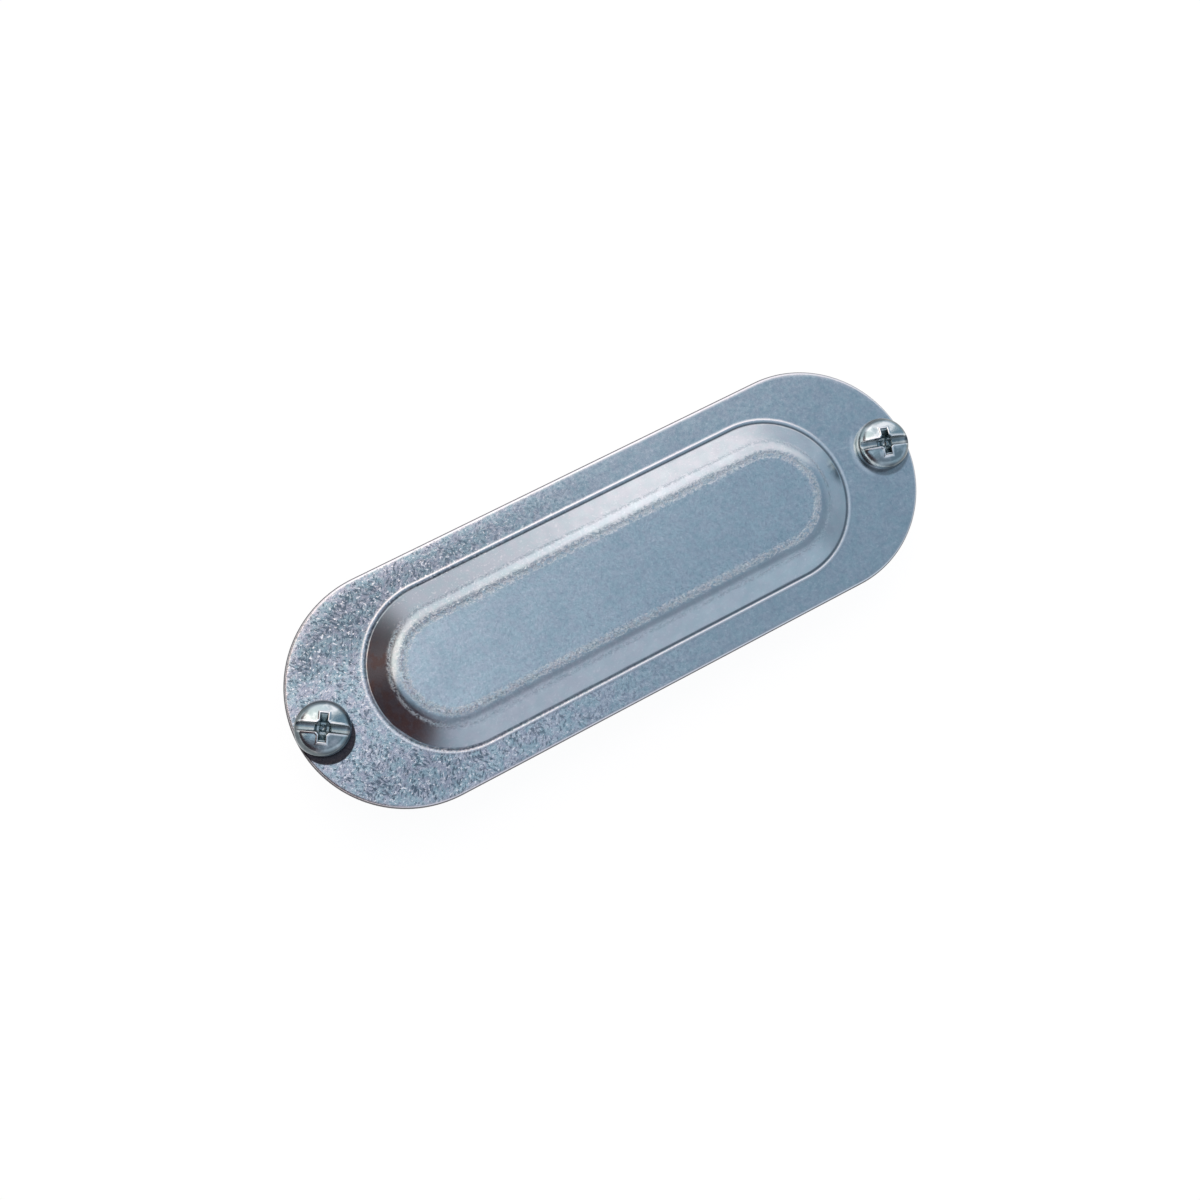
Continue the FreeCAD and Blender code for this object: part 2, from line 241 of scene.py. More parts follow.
@dataclass
class DrawnSheet:
    """The stamped cover: flange, sloping wall and panel of one even thickness, in millimetres.

    Each of its waves is a height, a wavelength and a seed.
    """

    length: float
    width: float
    panel_top: float
    thickness: float = 1.3
    edge_roll: float = 0.5
    edge_break: float = 0.12
    side_land: float = 5.15
    end_land: float = 12.25
    wall_angle: float = math.radians(27.0)
    foot_radius: float = 0.6
    shoulder_radius: float = 4.6
    hole_radius: float = 1.7
    hole_chamfer: float = 0.2
    bead_height: float = 0.04
    bead_place: float = 0.50
    bead_width: float = 0.20
    near_foot: float = 1.2
    waves: tuple[tuple[float, float, int], ...] = ((0.018, 14.0, 3), (0.008, 5.0, 5))
    flat_margin: float = 0.05
    land_margin: float = 0.02
    sharp_angle: float = math.radians(32.0)
    arc_steps: int = 96
    side_steps: int = 80
    hole_steps: int = 96

    @property
    def foot_reach(self) -> float:
        """End radius of the ring where the flange turns up into the wall."""
        return self.width / 2 - self.side_land

    @property
    def dome_centre(self) -> float:
        """Distance from the middle to the centre of the dome's round end."""
        return self.length / 2 - self.end_land - self.foot_reach

    @property
    def flange_centre(self) -> float:
        """Distance from the middle to the centre of the flange's round end."""
        return (self.length - self.width) / 2

    @property
    def panel_reach(self) -> float:
        """End radius of the flat panel, where its shoulder starts."""
        half_turn = math.tan(self.wall_angle / 2)
        rise = self.panel_top - self.thickness
        wall_run = rise / math.tan(self.wall_angle)
        return self.foot_reach - wall_run - (self.foot_radius + self.shoulder_radius) * half_turn

    @property
    def bend_end(self) -> float:
        """End radius of the ring where the shoulder ends and the straight wall starts."""
        return self.panel_reach + self.shoulder_radius * math.sin(self.wall_angle)

    @staticmethod
    def reach(points: np.ndarray, centre: float) -> np.ndarray:
        """Distance of each point from the line between two end centres, seen from above."""
        return np.hypot(np.maximum(np.abs(points[:, 0]) - centre, 0.0), points[:, 1])

    def section(self) -> np.ndarray:
        """The sheet's closed section, from the middle of the panel, out and back underneath.

        Each bend is two arcs about one centre, so the wall keeps its thickness. The last number
        of each arc and line is how many points it has.

        Returns:
            Rows of (end radius, height, blend), with blend 0 where the ring is centred as the
            dome is and 1 where it is centred as the flange's edge is.
        """
        top, sheet, angle = self.panel_top, self.thickness, self.wall_angle
        shoulder = (self.panel_reach, top - self.shoulder_radius)
        foot = (self.foot_reach, sheet + self.foot_radius)
        rim = self.width / 2
        roll = (rim - self.edge_roll, sheet - self.edge_roll)
        under_foot = self.foot_radius + sheet
        under_shoulder = self.shoulder_radius - sheet
        down = math.pi
        outer = [
            arc(shoulder, self.shoulder_radius, 0.0, angle, 18),
            arc(foot, self.foot_radius, down + angle, down, 12),
        ]
        inner = [
            arc(foot, under_foot, down, down + angle, 14),
            arc(shoulder, under_shoulder, angle, 0.0, 12),
        ]
        rolled = arc(roll, self.edge_roll, 0.0, math.pi / 2, 9)
        chamfer = np.array([[rim, self.edge_break], [rim - self.edge_break, 0.0]])
        near_foot = (self.foot_reach + self.near_foot, sheet)
        parts = [
            (np.array([[0.0, top]]), 0),
            (line((0.0, top), outer[0][0], 16), 0),
            (outer[0], 0),
            (line(outer[0][-1], outer[1][0], 10), 0),
            (outer[1], 0),
            (line(outer[1][-1], near_foot, 18), None),
            (line(near_foot, rolled[0], 12), None),
            (rolled, 1),
            (line(rolled[-1], chamfer[0], 3), 1),
            (chamfer, 1),
            (line(chamfer[-1], inner[0][0], 12), None),
            (inner[0], 0),
            (line(inner[0][-1], inner[1][0], 6), 0),
            (inner[1], 0),
            (line(inner[1][-1], (0.0, top - sheet), 12), 0),
            (np.array([[0.0, top - sheet]]), 0),
        ]
        rows = []
        for points, blend in parts:
            if blend is None:
                reach = points[:, 0]
                share = (reach - self.foot_reach) / (rim - self.edge_roll - self.foot_reach)
            else:
                share = np.full(len(points), float(blend))
            rows.append(np.column_stack([points, np.clip(share, 0.0, 1.0)]))
        return np.vstack(rows)

    def loop(self) -> tuple[np.ndarray, np.ndarray, np.ndarray]:
        """One trip round an obround: share of the end centre along X, and the direction out.

        Returns:
            Three arrays: the share from -1 to 1, and the cosine and sine of the direction.
        """
        bend = np.linspace(-math.pi / 2, math.pi / 2, self.arc_steps, endpoint=False)
        side = np.linspace(1.0, -1.0, self.side_steps, endpoint=False)
        upright = np.full(self.side_steps, math.pi / 2)
        share = np.concatenate([np.ones(self.arc_steps), side, -np.ones(self.arc_steps), -side])
        angle = np.concatenate([bend, upright, bend + math.pi, upright + math.pi])
        return share, np.cos(angle), np.sin(angle)

    def points(self) -> np.ndarray:
        """The sheet's surface: the section's rings, each an obround of its own reach and centre.

        A point of ring v at place u is x = centre(v) * share(u) + reach(v) * cos(angle(u)),
        y = reach(v) * sin(angle(u)), z = height(v).

        Returns:
            Rows of x, y, z, one ring after another.
        """
        reach, height, blend = self.section().T[:, :, None]
        share, cosine, sine = (part[None, :] for part in self.loop())
        centre = self.dome_centre + (self.flange_centre - self.dome_centre) * blend
        x = centre * share + reach * cosine
        y = np.broadcast_to(reach * sine, x.shape)
        z = np.broadcast_to(height, x.shape)
        return np.stack([x, y, z], -1).reshape(-1, 3)

    def hole_cutter(self, across: float) -> bpy.types.Object:
        """A spool that cuts one screw's hole with its two beveled mouths.

        Its radius is the hole's in the sheet and grows by the height past each mouth.

        Args:
            across: the hole's place on X, in millimetres.

        Returns:
            The cutter.
        """
        mouth = self.hole_chamfer
        wide = self.hole_radius + 2 * mouth
        sheet = self.thickness
        profile = np.array([
            [0.0, -mouth], [wide, -mouth], [self.hole_radius, mouth],
            [self.hole_radius, sheet - mouth], [wide, sheet + mouth], [0.0, sheet + mouth],
        ])
        turn = np.linspace(0.0, math.tau, self.hole_steps, endpoint=False)
        points = turned(*profile.T[:, :, None], turn).reshape(-1, 3) + [across, 0.0, 0.0]
        return make_piece("cutter", points, grid_faces(len(profile), len(turn)))

    def zones(self, points: np.ndarray) -> dict[str, np.ndarray]:
        """How much of each zone of working and of painted light each point has, from 0 to 1.

        Each zone is a ramp or a bell curve of the point's end radius on the dome, of its inset
        from the cover's edge, or of its place along the cover.

        Args:
            points: rows of x, y, z in millimetres.

        Returns:
            drawn: ironed by the die on the wall. bent: crazed where the shoulder starts and ends.
            rolled: smoothed from the shoulder to the foot. pressed: smoothed on the panel.
            crease_shade: painted shade in the bend at the foot. bead_highlight: a painted
                highlight on the bead just outside it. end_reflection: a painted brown reflection on
                the wall's -X end. left: towards the end with the coarse bloom. coarse: the darkest
                part of that bloom. edge_highlight: a painted highlight along the upper edge.
            sheared_and_shaded: the cut upright face of the edge, rough and painted dark as shade.
        """
        x, y, z = points.T
        panel, bend, foot = self.panel_reach, self.bend_end, self.foot_reach
        reach = self.reach(points, self.dome_centre)
        facing = (-x - self.dome_centre) / np.maximum(reach, 0.1)
        drawn = smooth_step(bend - 0.1, bend + 0.5, reach)
        drawn = drawn * smooth_step(foot + 0.1, foot - 0.3, reach)
        bent = 0.95 * bell(reach, panel, 0.52) + 0.5 * bell(reach, bend - 0.1, 0.30)
        on_top = {
            "drawn": drawn,
            "bent": np.clip(bent, 0.0, 1.0),
            "rolled": smooth_step(panel, panel + 0.3, reach) * (reach < foot - 0.3),
            "pressed": smooth_step(panel + 0.4, panel - 0.3, reach),
            # painted shade in the bend at the foot
            "crease_shade": bell(reach, foot + 0.05, 0.17),
            # painted highlight on the bead just outside the foot
            "bead_highlight": bell(reach, foot + 0.52, 0.16),
            # painted reflection: brown where the wall faces the -X end
            "end_reflection": drawn * smooth_step(0.55, 0.95, facing),
        }
        upper = z > self.thickness - self.flat_margin
        zones = {name: values * upper for name, values in on_top.items()}

        inset = self.width / 2 - self.reach(points, self.flange_centre)
        below = self.thickness - z
        left = smooth_step(-self.dome_centre * 0.5, self.dome_centre + 8.0, -x)
        near_end = smooth_step(27.0, 36.0, -x)
        sides = smooth_step(5.0, 10.0, y) + 0.55 * smooth_step(5.0, 11.0, -y) * near_end
        return zones | {
            "left": left,
            "coarse": left * sides * smooth_step(0.6, 2.5, inset),
            # painted highlight along the upper edge
            "edge_highlight": smooth_step(self.edge_roll + 0.1, 0.12, inset) * (below < 0.35),
            # the cut upright face of the edge: rough, and painted dark as shade
            "sheared_and_shaded": smooth_step(0.30, 0.18, inset) * smooth_step(0.10, 0.16, below),
        }

    def emboss(self, place: np.ndarray) -> None:
        """Lift the mesh's points: slow waves on the dome, and the bead outside its foot.

        Each wave is a ripple of its own height, length and seed, and the bead is a bell curve of
        the end radius.

        Args:
            place: rows of x, y, z in millimetres, changed in place.
        """
        wave = sum(height * ripple(place, length, seed) for height, length, seed in self.waves)
        place[:, 2] += wave * (place[:, 2] > self.thickness + self.flat_margin)
        reach = self.reach(place, self.dome_centre)
        bead = self.bead_height * bell(reach, self.foot_reach + self.bead_place, self.bead_width)
        place[:, 2] += bead * (np.abs(place[:, 2] - self.thickness) < self.land_margin)

    def build(self, screw_x: float) -> bpy.types.Object:
        """Make the sheet, cut its two holes and store its zones.

        Args:
            screw_x: distance from the middle to each hole's axis.

        Returns:
            The finished piece.
        """
        points = self.points()
        rows = len(self.section())
        piece = make_piece("drawn_sheet", points, grid_faces(rows, len(points) // rows))
        for across in (-screw_x, screw_x):
            cutter = self.hole_cutter(across)
            cut = piece.modifiers.new("hole", "BOOLEAN")
            cut.object = cutter
            cut.solver = "EXACT"
            apply_modifiers(piece)
            bpy.data.objects.remove(cutter)
        mesh = piece.data
        place = vertex_array(mesh)
        for name, values in self.zones(place).items():
            write_attribute(mesh, name, values)
        self.emboss(place)
        mesh.vertices.foreach_set("co", (place * MM).ravel())
        mesh.shade_smooth()
        mesh.set_sharp_from_angle(angle=self.sharp_angle)
        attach(piece, "cover")
        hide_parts("cover")
        LOG.info("%s: %d faces", piece.name, len(mesh.polygons))
        return piece


# ---------------------------------------------------------------- the screws


@dataclass
class CaptiveScrew:
    """A pan-head screw with slot, cross recess, thin neck and rolled thread, in millimetres.

    Its turn is in radians, and shade_gap is the share of the painted shade on its head's side
    that is left off towards -X.
    """

    side: Side
    axis_x: float
    head_radius: float
    seat: float
    head_top: float
    tip: float
    turn: float
    rim: float = 0.8
    corner: float = 1.5
    slot_width: float = 1.25
    slot_depth: float = 1.15
    slot_slope: float = 14.0
    cross_span: float = 4.2
    cross_width: float = 1.15
    cross_depth: float = 2.0
    tip_span: float = 1.7
    tip_width: float = 0.7
    core_width: float = 2.3
    core_tip: float = 1.0
    thread_radius: float = 2.08
    neck_radius: float = 1.6
    neck_end: float = -3.6
    thread_chamfer: float = 0.55
    pitch: float = 25.4 / 32
    thread_depth: float = 0.42
    edge_blend: float = 0.10
    slot_dish: float = 0.20
    core_dish: float = 0.30
    lip_height: float = 0.09
    lip_place: float = 0.10
    lip_width: float = 0.15
    seat_edge: float = 0.08
    groove_slope: float = 1.6
    groove_flat: float = 0.2
    head_steps: int = 112
    turn_steps: int = 384
    thread_rows: int = 110
    shade_gap: float = 0.0

    @property
    def height(self) -> float:
        """Height of the head above its seat."""
        return self.head_top - self.seat

    def crown(self, reach: np.ndarray) -> np.ndarray:
        """Height of the head's skin above its seat at a distance from the axis.

        The middle is a sphere that peaks on the axis. It touches the corner's arc from outside,
        and the arc runs down to the upright rim.

        Args:
            reach: distances from the axis.

        Returns:
            One height for each distance.
        """
        centre = self.head_radius - self.corner
        step = self.height - self.corner - self.rim
        ball = self.corner + (centre**2 + step**2) / (2 * step)
        touch = centre * ball / (ball - self.corner)
        middle = self.height - ball + np.sqrt(ball**2 - np.minimum(reach, ball) ** 2)
        out = np.clip(reach - centre, 0.0, self.corner)
        corner = self.rim + np.sqrt(self.corner**2 - out**2)
        return np.where(reach < touch, middle, corner)

    def recess(self, x: np.ndarray, y: np.ndarray) -> np.ndarray:
        """Height of the driver recess above the seat: the lowest of slot, two wings and core.

        The slot has a floor that rises with the square of y, and near-upright walls. The wings
        and the square core share a floor that dips in the middle as a bowl, and each has walls
        that lean out at their own slope.

        Args:
            x: distances from the axis along the slot.
            y: distances from the axis across the slot.

        Returns:
            One height for each point.
        """
        slot = self.height - self.slot_depth + self.slot_dish * (2 * y / self.slot_width) ** 2
        slot = slot + self.slot_slope * np.maximum(np.abs(y) - self.slot_width / 2, 0.0)
        bowl = np.minimum((x**2 + y**2) / (self.core_width / 4) ** 2, 1.0)
        floor = self.height - self.cross_depth + self.core_dish * bowl
        side = 2 * self.cross_depth / (self.cross_width - self.tip_width)
        end = 2 * self.cross_depth / (self.cross_span - self.tip_span)
        flat = 2 * self.cross_depth / (self.core_width - self.core_tip)
        rise = [
            np.maximum(
                side * (np.abs(b) - self.tip_width / 2), end * (np.abs(a) - self.tip_span / 2)
            )
            for a, b in ((x, y), (y, x))
        ]
        across = np.maximum(np.abs(x + y), np.abs(x - y)) / math.sqrt(2)
        rise.append(flat * (across - self.core_tip / 2))
        cross = floor + np.maximum(np.minimum.reduce(rise), 0.0)
        return soft_minimum(slot, cross, self.edge_blend)

    def outline(self, x: np.ndarray, y: np.ndarray) -> np.ndarray:
        """Distance past the recess's outline at the crown: the least of slot, wings and core.

        Args:
            x: distances from the axis along the slot.
            y: distances from the axis across the slot.

        Returns:
            One distance for each point, below 0 inside the recess.
        """
        slot = np.abs(y) - self.slot_width / 2
        wings = [
            np.maximum(np.abs(b) - self.cross_width / 2, np.abs(a) - self.cross_span / 2)
            for a, b in ((x, y), (y, x))
        ]
        core = np.maximum(np.abs(x + y), np.abs(x - y)) / math.sqrt(2) - self.core_width / 2
        return np.minimum.reduce([slot, *wings, core])

    def head_rings(self) -> np.ndarray:
        """The head's top as a grid of rings: z is the soft minimum of crown and recess.

        A lip pushed up by the punch stands round the recess: a bell curve of the distance past
        its outline, which fades before the rim.

        Returns:
            A grid of x, y, z, by ring and by turn.
        """
        reach = np.linspace(0.0, self.head_radius, self.head_steps)[:, None]
        angle = np.linspace(0.0, math.tau, self.turn_steps, endpoint=False)[None, :]
        x, y = reach * np.cos(angle), reach * np.sin(angle)
        lip = bell(self.outline(x, y), self.lip_place, self.lip_width)
        lip = lip * smooth_step(self.head_radius - 0.3, self.head_radius - 1.4, reach)
        skin = self.crown(reach) + self.lip_height * lip
        z = np.minimum(soft_minimum(skin, self.recess(x, y), self.edge_blend), self.height)
        return np.stack([x, y, z], -1)

    def shank_rings(self) -> np.ndarray:
        """Rim, seat, neck and thread: rings of radius r(v, angle) at height z(v).

        The thread's radius falls from its crest by a depth times a clipped zigzag of
        z / pitch - angle / turn, and is never outside the plain screw's section. The last number
        of each arc and line is how many points it has.

        Returns:
            A grid of x, y, z, by ring and by turn.
        """
        tip = self.tip - self.seat
        edge = self.seat_edge
        lead = self.thread_radius - self.neck_radius
        section = np.vstack([
            line((self.head_radius, self.rim), (self.head_radius, edge), 6),
            arc((self.head_radius - edge, edge), edge, math.pi / 2, math.pi, 5),
            line((self.head_radius - edge, 0.0), (self.neck_radius, 0.0), 8),
            [[self.neck_radius, 0.0]],
            line((self.neck_radius, 0.0), (self.neck_radius, self.neck_end), 10),
        ])
        height = np.linspace(self.neck_end, tip, self.thread_rows)
        up = self.neck_radius + (self.neck_end - height)
        down = self.thread_radius - self.thread_chamfer + (height - tip)
        plain = np.minimum(np.minimum(up, down), self.thread_radius)
        section = np.vstack([section, np.column_stack([plain, height]), [[0.0, tip]]])
        angle = np.linspace(0.0, math.tau, self.turn_steps, endpoint=False)[None, :]
        reach, height = section.T[:, :, None]
        place = np.mod(height / self.pitch - angle / math.tau, 1.0)
        zigzag = 1.0 - np.abs(2.0 * place - 1.0)
        groove = np.clip(self.groove_slope * zigzag - self.groove_flat, 0.0, 1.0)
        groove = groove * (height < self.neck_end - 0.3 * lead)
        cut = self.thread_radius - self.thread_depth * groove
        reach = np.where(height < self.neck_end, np.minimum(reach, cut), reach)
        return turned(reach, height, angle)

    def zones(self, local: np.ndarray) -> dict[str, np.ndarray]:
        """How much of each zone of the finish and of the painted light each point has, from 0 to 1.

        Args:
            local: rows of x, y, z from the middle of the seat, in the cover's directions.

        Returns:
            sunk: down in the recess, painted dark as shade. thread: below the neck. skirt: the
                head's side, painted dark as shade. lip: pushed up round the recess, painted with a
                highlight. wall: the recess's walls near the crown, painted black as shade.
        """
        x, y, z = local.T
        cosine, sine = math.cos(self.turn), math.sin(self.turn)
        reach = np.hypot(x, y)
        sunk = smooth_step(0.05, 0.9, self.crown(reach) - z)
        skirt = smooth_step(self.head_radius - 0.9, self.head_radius - 0.4, reach)
        skirt = skirt * smooth_step(self.rim - 0.2, self.rim + 0.3, z)
        towards = smooth_step(0.2, 0.75, -x / np.maximum(reach, 0.1))
        past = self.outline(x * cosine + y * sine, y * cosine - x * sine)
        on_top = (z > self.rim) * smooth_step(self.head_radius - 0.2, self.head_radius - 0.8, reach)
        return {
            # down in the recess: painted dark as shade, and rougher
            "sunk": sunk * (z > 0.01),
            "thread": (z < self.neck_end).astype(float),
            # the head's side, painted dark as shade; shade_gap leaves part of it off towards -X
            "skirt": skirt * (1.0 - self.shade_gap * towards),
            # round the recess: painted white as a highlight
            "lip": on_top * bell(past, self.lip_place, self.lip_width),
            # the recess's walls near the crown: painted black as shade
            "wall": on_top * bell(past, -0.10, 0.09),
        }

    def build(self) -> bpy.types.Object:
        """Make the screw in its hole, turned as its slot lies, and store its zones.

        Returns:
            The finished piece.
        """
        rings = np.concatenate([self.head_rings(), self.shank_rings()])
        x, y, z = rings.reshape(-1, 3).T
        cosine, sine = math.cos(self.turn), math.sin(self.turn)
        points = np.column_stack([
            self.axis_x + x * cosine - y * sine,
            x * sine + y * cosine,
            z + self.seat,
        ])
        name = f"{self.side.value}_threaded"
        faces = grid_faces(len(rings), self.turn_steps)[:, ::-1]
        piece = make_piece(name, points, faces)
        mesh = piece.data
        local = vertex_array(mesh) - [self.axis_x, 0.0, self.seat]
        for name, values in self.zones(local).items():
            write_attribute(mesh, name, values)
        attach(piece, self.side.value)
        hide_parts(self.side.value)
        LOG.info("%s: %d faces", piece.name, len(mesh.polygons))
        return piece


# ---------------------------------------------------------------- finishes


class Shader:
    """A material's nodes, written as calls that return the socket to link on."""

    def __init__(self, name: str) -> None:
        """Start a material with its output and its main shader.

        Args:
            name: the material's name.
        """
        self.material = bpy.data.materials.new(name)
        self.material.use_nodes = True
        self.tree = self.material.node_tree
        self.surface = self.tree.nodes["Principled BSDF"]
        coordinates = self.tree.nodes.new("ShaderNodeTexCoord")
        self.place = coordinates.outputs["Object"]

    def add(self, kind: str, out: int | str = 0, **inputs: object) -> Socket:
        """Add a node.

        Args:
            kind: the node's type, without its prefix.
            out: the output to return.
            **inputs: what each gets: an input by its name, or by i and its number, or one of the
                node's own options in lower case.

        Returns:
            The node's output socket.
        """
        node = self.tree.nodes.new(f"ShaderNode{kind}")
        for name, value in inputs.items():
            if hasattr(node, name):
                setattr(node, name, value)
                continue
            numbered = name[1:].isdigit()
            socket = node.inputs[int(name[1:]) if numbered else name.replace("_", " ")]
            self.connect(socket, value)
        return node.outputs[out]

    def connect(self, socket: Socket, value: object) -> None:
        """Link an input to a socket, or set its value.

        Args:
            socket: the input.
            value: another node's output, or a plain value.
        """
        if isinstance(value, Socket):
            self.tree.links.new(value, socket)
        else:
            socket.default_value = value

    def math(self, kind: str, first: object, second: object = 0.0, third: object = 0.0) -> Socket:
        """One step of arithmetic."""
        return self.add("Math", operation=kind, i0=first, i1=second, i2=third)

    def product(self, *values: object) -> Socket:
        """All the values multiplied together, from the first to the last."""
        return reduce(lambda so_far, value: self.math("MULTIPLY", so_far, value), values)

    def swing(self, value: object, gain: float, base: object) -> Socket:
        """A pattern's swing about its middle of 0.5, times a gain, added to a base."""
        return self.math("MULTIPLY_ADD", self.math("SUBTRACT", value, 0.5), gain, base)

    def ramp(self, value: object, low: float, high: float) -> Socket:
        """A value's stretch from low to high, mapped to 0 and 1 with a smooth step."""
        return self.add("MapRange", interpolation_type="SMOOTHSTEP", i0=value, i1=low, i2=high)

    def noise(self, scale: float, detail: float, rough: float = 0.55, warp: float = 0.0) -> Socket:
        """A cloud pattern on object coordinates, with its features per metre."""
        return self.add("TexNoise", "Fac", Vector=self.place, Scale=scale, Detail=detail,
                        Roughness=rough, Distortion=warp)

    def strokes(self, scale: float, turn: float, stretch: float) -> Socket:
        """A cloud pattern drawn out along a level direction, in radians from +X."""
        along = self.add("Mapping", vector_type="TEXTURE", Vector=self.place,
                         Rotation=(0.0, 0.0, turn), Scale=(stretch, 1.0, 1.0))
        return self.add("TexNoise", "Fac", Vector=along, Scale=scale, Detail=3.0, Roughness=0.65,
                        Distortion=0.3)

    def from_axis(self, x: float, y: float) -> Socket:
        """Distance from an upright axis, all in millimetres.

        Args:
            x: the axis's place on X.
            y: its place on Y.

        Returns:
            The distance's socket.
        """
        axis, scale = (x * MM, y * MM, 0.0), (1.0 / MM, 1.0 / MM, 0.0)
        apart = self.add("VectorMath", 0, operation="SUBTRACT", i0=self.place, i1=axis)
        level = self.add("VectorMath", 0, operation="MULTIPLY", i0=apart, i1=scale)
        return self.add("VectorMath", "Value", operation="LENGTH", i0=level)

    def attribute(self, name: str) -> Socket:
        """One of the numbers stored in the mesh."""
        return self.add("Attribute", "Fac", attribute_name=name)

    def between(self, share: object, first: object, second: object) -> Socket:
        """A mix of two numbers."""
        return self.add("Mix", 0, data_type="FLOAT", i0=share, i2=first, i3=second)

    def blend(self, share: object, first: object, second: object) -> Socket:
        """A mix of two colours.

        Args:
            share: how much of the second there is.
            first: a socket, or three numbers.
            second: the same.

        Returns:
            The mixed colour.
        """
        node = self.tree.nodes.new("ShaderNodeMix")
        node.data_type = "RGBA"
        for index, value in ((0, share), (6, first), (7, second)):
            if isinstance(value, tuple) and len(value) == 3:
                value = (*value, 1.0)
            self.connect(node.inputs[index], value)
        return node.outputs[2]

    def metal(self, color: Socket, rough: Socket, relief: Socket, depth: float,
              strength: float) -> bpy.types.Material:
        """Make the main shader bare metal.

        Args:
            color: the metal's colour.
            rough: its roughness.
            relief: a height field, of about 0 to 1.
            depth: what 1 in the relief is, in metres.
            strength: share of the relief that is seen.

        Returns:
            The material.
        """
        normal = self.add("Bump", "Normal", Height=relief, Distance=depth, Strength=strength)
        for name, value in (("Base Color", color), ("Metallic", 1.0), ("Roughness", rough),
                            ("Normal", normal)):
            self.connect(self.surface.inputs[name], value)
        return self.material


